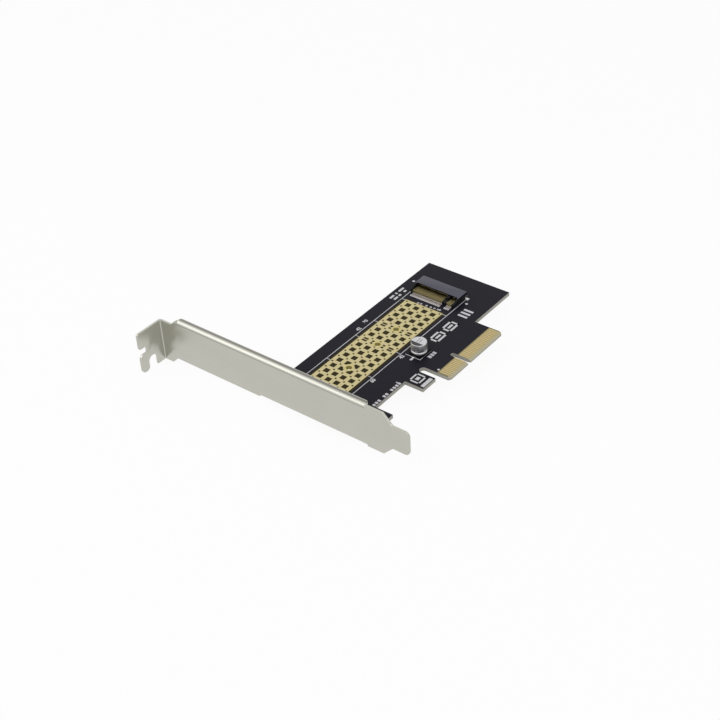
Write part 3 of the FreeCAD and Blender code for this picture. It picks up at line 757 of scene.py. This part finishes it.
SCREW_X, SCREWS_Y = -49.98, (10.2, 49.2)
HEAD_RADIUS, HEAD_TOP, HEAD_DOME = 2.7, 1.9, 0.8
RECESS_LONG, RECESS_SHORT, RECESS_Z = 1.4, 0.28, (0.9, 3.0)
SHANK_RADIUS, SHANK_Z, SHANK_POINT = 1.45, (-4.0, 0.02), 0.35


def make_softened(node, name, edge, finish, slot):
    """A CAD node's own shape with its sharp edges softened."""
    piece = welded_copy(node, name)
    soft_edges(piece, edge)
    return finish_piece(piece, finish, slot, node)


def make_can():
    """A drawn can: pinched above its rim, round at the shoulder and a little sunk on top."""
    can = cylinder(CAN_X, CAN_Y, CAN_LOW, CAN_HIGH, CAN_RADIUS, 64)
    can.name = "can_drawn"
    for height in PINCH_LOOPS:
        edit_all(can)
        bpy.ops.mesh.bisect(plane_co=(0, 0, height * MM), plane_no=(0, 0, 1))
        close_edit()
    for height, share in PINCH_SHARES:
        edit(can, "VERT")
        pick(can, "verts", vertex_at(height))
        bpy.ops.transform.resize(value=(share, share, 1),
                                 center_override=(CAN_X * MM, CAN_Y * MM, height * MM))
        close_edit()
    round_edges(can, CAN_HIGH, CAN_SHOULDER, 5)
    edit(can)
    pick(can, "faces", lambda face: face.normal.z > 0.99)
    bpy.ops.mesh.inset(thickness=CAN_RIM * MM)
    bpy.ops.transform.translate(value=(0, 0, -CAN_DIP * MM))
    close_edit()
    smooth(can, 40)
    return finish_piece(can, aluminium, "can_aluminium", "capacitor_can")


def make_solder():
    """Fillets of solder where the socket's tabs and the capacitor's leads meet their pads."""
    lumps = []
    for x, y, half_length, half_width in SOLDER_SPOTS:
        bpy.ops.mesh.primitive_uv_sphere_add(segments=20, ring_count=12, radius=1 * MM,
                                             location=(x * MM, y * MM, SOLDER_SEAT * MM))
        lump = bpy.context.object
        lump.scale = (half_length, half_width, SOLDER_HEIGHT)
        settle(lump)
        edit_all(lump)
        bpy.ops.mesh.bisect(plane_co=(0, 0, SOLDER_CUT * MM), plane_no=(0, 0, 1),
                            clear_inner=True, use_fill=True)
        close_edit()
        lumps.append(lump)
    solder = join(lumps, "solder_fillets")
    smooth(solder, 60)
    return finish_piece(solder, tinned_pad, "tinned_pad")


def make_screws():
    """Two pan-head screws, each with a domed head and a cross recess."""
    screws = []
    for y in SCREWS_Y:
        head = cylinder(SCREW_X, y, 0.0, HEAD_TOP, HEAD_RADIUS)
        round_edges(head, HEAD_TOP, HEAD_DOME, 6)
        for half_x, half_y in ((RECESS_LONG, RECESS_SHORT), (RECESS_SHORT, RECESS_LONG)):
            cut_away(head, block((SCREW_X - half_x, SCREW_X + half_x),
                                 (y - half_y, y + half_y), RECESS_Z))
        shank = cylinder(SCREW_X, y, *SHANK_Z, SHANK_RADIUS, 32)
        round_edges(shank, SHANK_Z[0], SHANK_POINT, 2)
        screws += [head, shank]
    pair = join(screws, "pan_head_screws")
    smooth(pair, 30)
    return finish_piece(pair, screw_nickel, "screw_nickel", "bracket_screws")


make_softened("socket_housing", "socket_shell", SOCKET_EDGE, socket_plastic, "socket_plastic")
make_can()
make_softened("capacitor_base", "base_moulded", BASE_EDGE, base_plastic, "base_plastic")
make_solder()
make_softened("bracket", "bracket_sheet", BRACKET_EDGE, nickel, "bracket_nickel")
make_screws()


# ---------------------------------------------------------------- floor, light and camera

FLOOR = -7.22
FLOOR_GREY = 0.86
BACKDROP_SHARE = 0.94
ROOM_LIGHT = 0.55

# Lamps, in metres and watts: name, place, size, power.
LAMPS = (("key", (-0.42, 0.40, 0.50), 0.90, 2.0), ("fill", (-0.10, -0.45, 0.60), 0.50, 1.0))
LAMP_TARGET = (0, 0.03, 0)

LENS_LENGTH, SENSOR_WIDTH = 72.71, 36.0
LENS_SHIFT = (-0.0211, -0.0078)
CAMERA_PLACE = (-363.509, -250.004, 331.064)
CAMERA_TURN = (53.4588, 2.4467, -52.6739)


def direct_view(tree, share):
    """The share for rays that show the background: to the camera or by way of gloss or glass."""
    path = tree.nodes.new("ShaderNodeLightPath")
    total = path.outputs["Is Camera Ray"]
    for ray in ("Is Glossy Ray", "Is Transmission Ray"):
        node = tree.nodes.new("ShaderNodeMath")
        node.operation = "MAXIMUM"
        tree.links.new(total, node.inputs[0])
        tree.links.new(path.outputs[ray], node.inputs[1])
        total = node.outputs[0]
    scale = tree.nodes.new("ShaderNodeMath")
    scale.operation = "MULTIPLY"
    scale.inputs[1].default_value = share
    tree.links.new(total, scale.inputs[0])
    return scale.outputs[0]


def make_floor():
    """A plain pale floor that keeps a soft shadow."""
    bpy.ops.mesh.primitive_plane_add(size=6, location=(0, 0, FLOOR * MM))
    floor = bpy.context.object
    floor.name = "floor"
    material = bpy.data.materials.new("pale_floor")
    material.use_nodes = True
    tree = material.node_tree
    tree.nodes.clear()
    output = tree.nodes.new("ShaderNodeOutputMaterial")
    diffuse = tree.nodes.new("ShaderNodeBsdfDiffuse")
    diffuse.inputs["Color"].default_value = (FLOOR_GREY, FLOOR_GREY, FLOOR_GREY, 1)
    glow = tree.nodes.new("ShaderNodeEmission")
    glow.inputs["Color"].default_value = (1, 1, 1, 1)
    mix = tree.nodes.new("ShaderNodeMixShader")
    tree.links.new(direct_view(tree, BACKDROP_SHARE), mix.inputs[0])
    tree.links.new(diffuse.outputs[0], mix.inputs[1])
    tree.links.new(glow.outputs[0], mix.inputs[2])
    tree.links.new(mix.outputs[0], output.inputs["Surface"])
    floor.data.materials.append(material)


def make_world():
    """White surroundings that light the part less than they show."""
    world = bpy.data.worlds.new("soft_room")
    bpy.context.scene.world = world
    world.use_nodes = True
    tree = world.node_tree
    background = next(node for node in tree.nodes if node.type == "BACKGROUND")
    background.inputs["Color"].default_value = (1, 1, 1, 1)
    strength = tree.nodes.new("ShaderNodeMath")
    strength.operation = "ADD"
    strength.inputs[1].default_value = ROOM_LIGHT
    tree.links.new(direct_view(tree, 1 - ROOM_LIGHT), strength.inputs[0])
    tree.links.new(strength.outputs[0], background.inputs["Strength"])


def make_lamp(name, place, size, power):
    lamp = bpy.data.lights.new(name, "AREA")
    lamp.shape = "DISK"
    lamp.size = size
    lamp.energy = power
    holder = bpy.data.objects.new(name, lamp)
    bpy.context.scene.collection.objects.link(holder)
    holder.location = place
    aim = Vector(LAMP_TARGET) - Vector(place)
    holder.rotation_euler = aim.to_track_quat("-Z", "Y").to_euler()


def make_camera():
    lens = bpy.data.cameras.new("camera")
    lens.lens = LENS_LENGTH
    lens.sensor_width = SENSOR_WIDTH
    lens.shift_x, lens.shift_y = LENS_SHIFT
    lens.clip_start = 0.01
    camera = bpy.data.objects.new("camera", lens)
    bpy.context.scene.collection.objects.link(camera)
    camera.location = [distance * MM for distance in CAMERA_PLACE]
    camera.rotation_euler = [math.radians(turn) for turn in CAMERA_TURN]
    bpy.context.scene.camera = camera


make_floor()
make_world()
for lamp in LAMPS:
    make_lamp(*lamp)
make_camera()
bpy.context.scene.view_settings.view_transform = "Standard"
